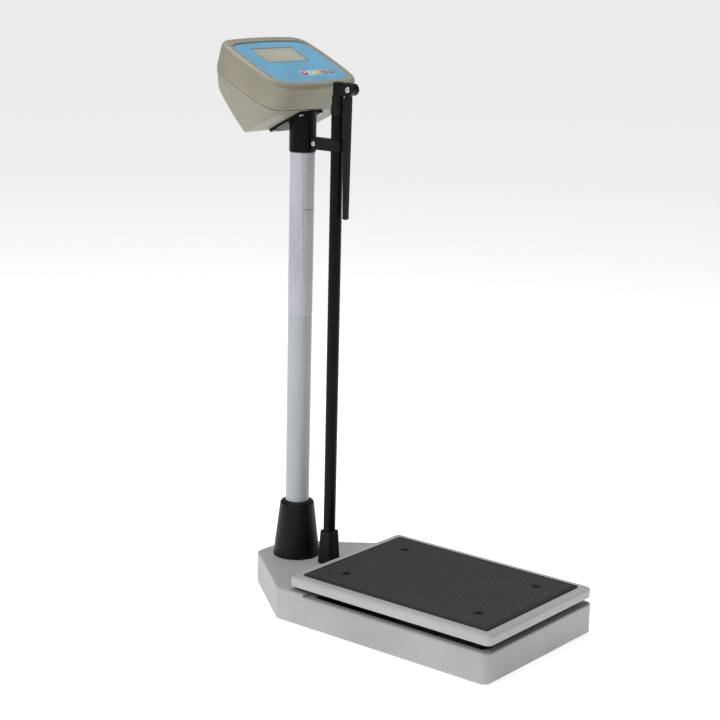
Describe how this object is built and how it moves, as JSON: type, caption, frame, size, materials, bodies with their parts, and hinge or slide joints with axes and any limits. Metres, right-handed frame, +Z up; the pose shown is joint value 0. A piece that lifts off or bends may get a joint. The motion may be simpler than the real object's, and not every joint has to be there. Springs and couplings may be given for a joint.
{
  "type": "electronic column scale with height rod",
  "caption": "Floor-standing weighing scale with a mat-topped platform, a column carrying a tilted display console, and a telescopic height rod with a folding head arm.",
  "frame": {"origin": "on the floor, midway between the front of the base and the rear of the console, and midway across", "axes": "+Z up, +Y from the platform to the column, +X to the right of a person on the platform facing the column"},
  "size_m": [0.285, 0.5896, 0.8781],
  "materials": {
    "grey_plastic": "fine-grained light grey moulding",
    "grey_paint": "light grey powder coat",
    "black_plastic": "black moulded plastic",
    "black_paint": "black satin paint",
    "mat_rubber": "black ribbed rubber",
    "rubber": "black rubber",
    "zinc_steel": "zinc plated steel",
    "foot_plastic": "hard black rubber foot",
    "cell_aluminium": "machined aluminium",
    "beige_plastic": "warm beige-grey moulding",
    "panel_blue": "printed polyester overlay",
    "window": "clear lens over a grey display",
    "display": "liquid crystal display",
    "film": "protective film",
    "board": "circuit board",
    "battery_case": "black battery case",
    "key_red": "red key",
    "key_white": "pale blue key",
    "key_yellow": "yellow key",
    "key_mauve": "grey mauve key"
  },
  "bodies": {
    "base": {"base_housing": "grey_plastic", "base_plate": "zinc_steel", "battery": "battery_case", "board_screws": "zinc_steel", "bracket_screws": "zinc_steel", "case_screws": "zinc_steel", "charger_socket": "black_plastic", "clamp_screw": "zinc_steel", "column_bolts": "zinc_steel", "column_cone": "black_plastic", "column_film": "film", "column_socket": "black_paint", "column_stand": "black_paint", "column_tube": "grey_paint", "foot_nuts": "zinc_steel", "head_bracket": "black_paint", "housing_screws": "zinc_steel", "key_switches": "board", "lcd_module": "display", "lcd_window": "window", "load_cell": "cell_aluminium", "lower_case": "beige_plastic", "lower_cell_bolts": "zinc_steel", "lower_spacer": "cell_aluminium", "main_board": "board", "outer_tube_collar": "black_plastic", "overload_stops": "zinc_steel", "panel_overlay": "panel_blue", "rod_clamp": "black_plastic", "rod_foot": "black_plastic", "rod_foot_screws": "zinc_steel", "rod_outer_tube": "black_paint", "signal_cable": "rubber", "stand_bolts": "zinc_steel", "upper_case": "beige_plastic"},
    "platform": {"upper_spacer": "cell_aluminium", "upper_cell_bolts": "zinc_steel", "platform_frame": "black_paint", "platform_cushions": "rubber", "platform_cover": "grey_paint", "cover_screws": "zinc_steel", "platform_mat": "mat_rubber", "mat_plugs": "black_plastic"},
    "middle_tube": {"rod_middle_tube": "black_paint", "middle_tube_glide": "black_plastic", "middle_tube_collar": "black_plastic"},
    "inner_tube": {"rod_inner_tube": "black_paint", "inner_tube_glide": "black_plastic", "arm_head": "black_plastic", "arm_pin": "zinc_steel"},
    "arm": {"measuring_arm": "black_plastic"},
    "foot_1": {"levelling_foot_1": "foot_plastic"},
    "foot_2": {"levelling_foot_2": "foot_plastic"},
    "foot_3": {"levelling_foot_3": "foot_plastic"},
    "foot_4": {"levelling_foot_4": "foot_plastic"},
    "key_1": {"key_1": "key_red"},
    "key_2": {"key_2": "key_white"},
    "key_3": {"key_3": "key_yellow"},
    "key_4": {"key_4": "key_mauve"},
    "key_5": {"key_5": "key_mauve"}
  },
  "joints": [
    {"name": "platform_load", "type": "slide", "parent": "base", "child": "platform", "axis": [0, 0, 1], "range_m": [-0.001, 0], "stiffness_N_per_m": 400000, "deforming": ["load_cell"]},
    {"name": "height_lower_stage", "type": "slide", "parent": "base", "child": "middle_tube", "axis": [0, 0, 1], "range_m": [0, 0.6]},
    {"name": "height_upper_stage", "type": "slide", "parent": "middle_tube", "child": "inner_tube", "axis": [0, 0, 1], "range_m": [0, 0.6]},
    {"name": "arm_fold", "type": "hinge", "parent": "inner_tube", "child": "arm", "pos_m": [0, 0.0907, 0.8098], "axis": [-1, 0, 0], "range_deg": [0, 90]},
    {"name": "foot_1_turn", "type": "hinge", "parent": "base", "child": "foot_1", "pos_m": [-0.112, -0.258, 0.006], "axis": [0, 0, 1], "continuous": true},
    {"name": "foot_2_turn", "type": "hinge", "parent": "base", "child": "foot_2", "pos_m": [0.112, -0.258, 0.006], "axis": [0, 0, 1], "continuous": true},
    {"name": "foot_3_turn", "type": "hinge", "parent": "base", "child": "foot_3", "pos_m": [-0.066, 0.156, 0.006], "axis": [0, 0, 1], "continuous": true},
    {"name": "foot_4_turn", "type": "hinge", "parent": "base", "child": "foot_4", "pos_m": [0.066, 0.156, 0.006], "axis": [0, 0, 1], "continuous": true},
    {"name": "key_1_press", "type": "slide", "parent": "base", "child": "key_1", "axis": [0, -0.4384, 0.8988], "range_m": [-0.0006, 0], "stiffness_N_per_m": 2500},
    {"name": "key_2_press", "type": "slide", "parent": "base", "child": "key_2", "axis": [0, -0.4384, 0.8988], "range_m": [-0.0006, 0], "stiffness_N_per_m": 2500},
    {"name": "key_3_press", "type": "slide", "parent": "base", "child": "key_3", "axis": [0, -0.4384, 0.8988], "range_m": [-0.0006, 0], "stiffness_N_per_m": 2500},
    {"name": "key_4_press", "type": "slide", "parent": "base", "child": "key_4", "axis": [0, -0.4384, 0.8988], "range_m": [-0.0006, 0], "stiffness_N_per_m": 2500},
    {"name": "key_5_press", "type": "slide", "parent": "base", "child": "key_5", "axis": [0, -0.4384, 0.8988], "range_m": [-0.0006, 0], "stiffness_N_per_m": 2500}
  ]
}
